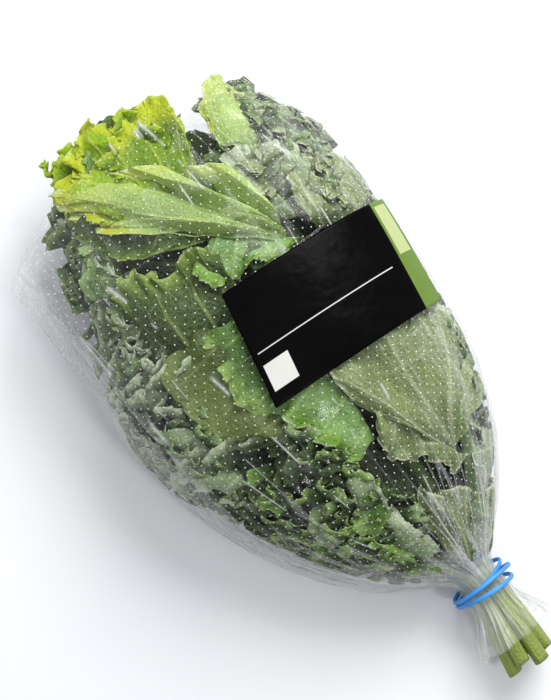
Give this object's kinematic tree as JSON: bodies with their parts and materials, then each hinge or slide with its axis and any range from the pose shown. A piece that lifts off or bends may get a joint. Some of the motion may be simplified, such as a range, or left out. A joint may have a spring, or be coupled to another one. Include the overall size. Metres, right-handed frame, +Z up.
{
  "type": "kale bunch",
  "caption": "Bunch of curly kale leaves lying on its side in an open, perforated clear film sleeve, tied at the stalks with a wound rubber band and carrying a plain label.",
  "frame": {"origin": "centre of the bounding box in X and Y, on the surface that the bunch lies on", "axes": "+Y from the cut stalks towards the leaf tips, +Z up, +X to the right when the tips point away from the viewer"},
  "size_m": [0.182, 0.349, 0.0845],
  "materials": {
    "leaf": "waxy green leaf, paler on its underside",
    "film": "thin clear plastic film, glossy, with fine perforations",
    "band": "satin blue",
    "label": "glossy coated, black with a green end"
  },
  "bodies": {
    "root": {"kale_leaf_1": "leaf", "kale_leaf_2": "leaf", "kale_leaf_3": "leaf", "kale_leaf_4": "leaf", "kale_leaf_5": "leaf", "kale_leaf_6": "leaf", "kale_leaf_7": "leaf", "kale_leaf_8": "leaf", "film_sleeve": "film", "rubber_band": "band", "label": "label"}
  },
  "joints": []
}
